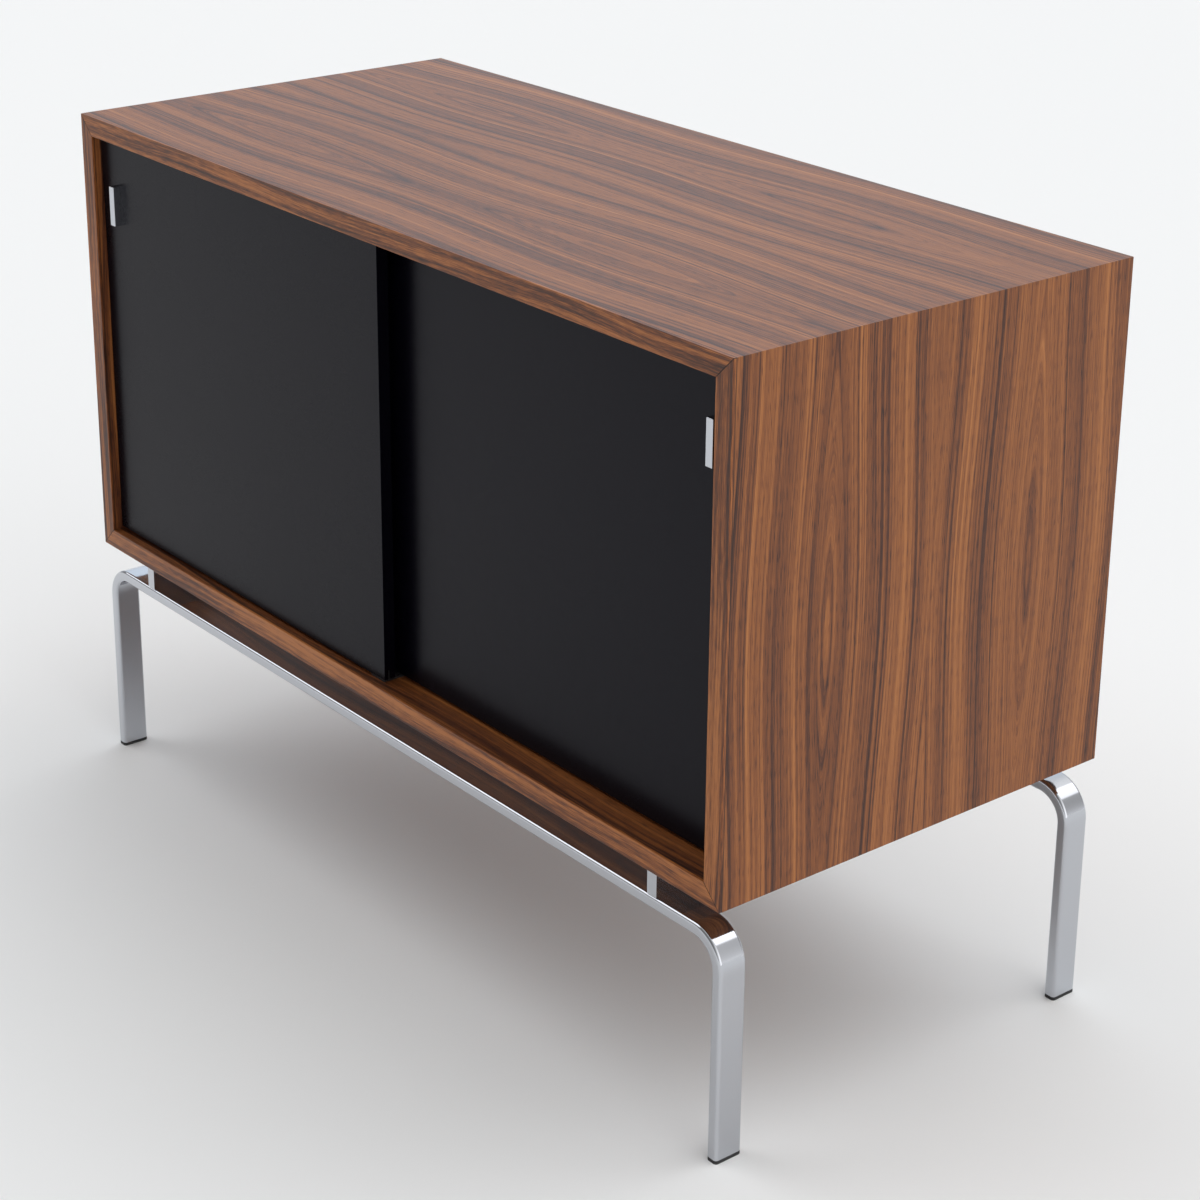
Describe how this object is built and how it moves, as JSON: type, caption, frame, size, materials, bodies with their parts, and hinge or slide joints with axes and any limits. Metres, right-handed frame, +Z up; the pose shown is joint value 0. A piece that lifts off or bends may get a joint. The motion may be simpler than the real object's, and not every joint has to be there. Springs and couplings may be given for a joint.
{
  "type": "sideboard",
  "caption": "Low sideboard: mitred walnut case with black sliding doors and small metal pulls, raised on bent flat-bar chrome frames.",
  "frame": {"origin": "on the floor, under the middle of the case (bottom centre of the whole object's box)", "axes": "+X along the width to the right as seen from the front, +Y from the doors to the back, +Z up"},
  "size_m": [1, 0.45, 0.71],
  "materials": {
    "walnut": "satin lacquered walnut veneer, straight grain with a few cathedral figures",
    "walnut_lipping": "satin lacquered solid walnut, grain along the edge",
    "beech": "raw",
    "black_door": "matt black lacquer",
    "chrome": "polished",
    "alloy": "mill",
    "nylon": "moulded",
    "black_nylon": "moulded",
    "rubber": "moulded",
    "zinc_steel": "zinc plated"
  },
  "bodies": {
    "case": {"top_panel": "walnut", "bottom_panel": "walnut", "left_side": "walnut", "right_side": "walnut", "top_lipping": "walnut_lipping", "bottom_lipping": "walnut_lipping", "left_lipping": "walnut_lipping", "right_lipping": "walnut_lipping", "back_panel": "walnut", "back_screws": "zinc_steel", "mitre_splines": "beech", "partition": "walnut", "partition_dowels": "beech", "left_shelf": "walnut", "right_shelf": "walnut", "left_shelf_pins": "zinc_steel", "right_shelf_pins": "zinc_steel", "door_track": "alloy", "track_screws": "zinc_steel", "track_stops": "rubber", "floor_guide": "black_nylon", "guide_screws": "zinc_steel", "front_frame": "chrome", "rear_frame": "chrome", "left_crossbar": "chrome", "right_crossbar": "chrome", "frame_bolts": "zinc_steel", "case_bolts": "zinc_steel", "case_inserts": "alloy", "front_left_pad": "rubber", "front_right_pad": "rubber", "rear_left_pad": "rubber", "rear_right_pad": "rubber"},
    "left_door": {"left_door": "black_door", "left_pull": "chrome", "left_pull_screws": "zinc_steel", "left_hangers": "zinc_steel", "left_hanger_screws": "zinc_steel"},
    "right_door": {"right_door": "black_door", "right_pull": "chrome", "right_pull_screws": "zinc_steel", "right_hangers": "zinc_steel", "right_hanger_screws": "zinc_steel"},
    "left_outer_roller_pair": {"left_outer_rollers": "nylon", "left_outer_axle": "zinc_steel"},
    "left_inner_roller_pair": {"left_inner_rollers": "nylon", "left_inner_axle": "zinc_steel"},
    "right_outer_roller_pair": {"right_outer_rollers": "nylon", "right_outer_axle": "zinc_steel"},
    "right_inner_roller_pair": {"right_inner_rollers": "nylon", "right_inner_axle": "zinc_steel"}
  },
  "joints": [
    {"name": "left_door_slide", "type": "slide", "parent": "case", "child": "left_door", "axis": [1, 0, 0], "range_m": [0, 0.4645]},
    {"name": "right_door_slide", "type": "slide", "parent": "case", "child": "right_door", "axis": [1, 0, 0], "range_m": [-0.4645, 0]},
    {"name": "left_outer_roller_turn", "type": "hinge", "parent": "left_door", "child": "left_outer_roller_pair", "pos_m": [-0.4505, -0.209, 0.69475], "axis": [0, 1, 0], "range_deg": [0, 8590]},
    {"name": "left_inner_roller_turn", "type": "hinge", "parent": "left_door", "child": "left_inner_roller_pair", "pos_m": [-0.014, -0.209, 0.69475], "axis": [0, 1, 0], "range_deg": [0, 8590]},
    {"name": "right_outer_roller_turn", "type": "hinge", "parent": "right_door", "child": "right_outer_roller_pair", "pos_m": [0.4505, -0.188, 0.69475], "axis": [0, 1, 0], "range_deg": [-8590, 0]},
    {"name": "right_inner_roller_turn", "type": "hinge", "parent": "right_door", "child": "right_inner_roller_pair", "pos_m": [0.014, -0.188, 0.69475], "axis": [0, 1, 0], "range_deg": [-8590, 0]}
  ],
  "couplings": [
    {"joint": "left_outer_roller_turn", "follows": "left_door_slide", "rad_per_m": 322.58},
    {"joint": "left_inner_roller_turn", "follows": "left_door_slide", "rad_per_m": 322.58},
    {"joint": "right_outer_roller_turn", "follows": "right_door_slide", "rad_per_m": 322.58},
    {"joint": "right_inner_roller_turn", "follows": "right_door_slide", "rad_per_m": 322.58}
  ]
}
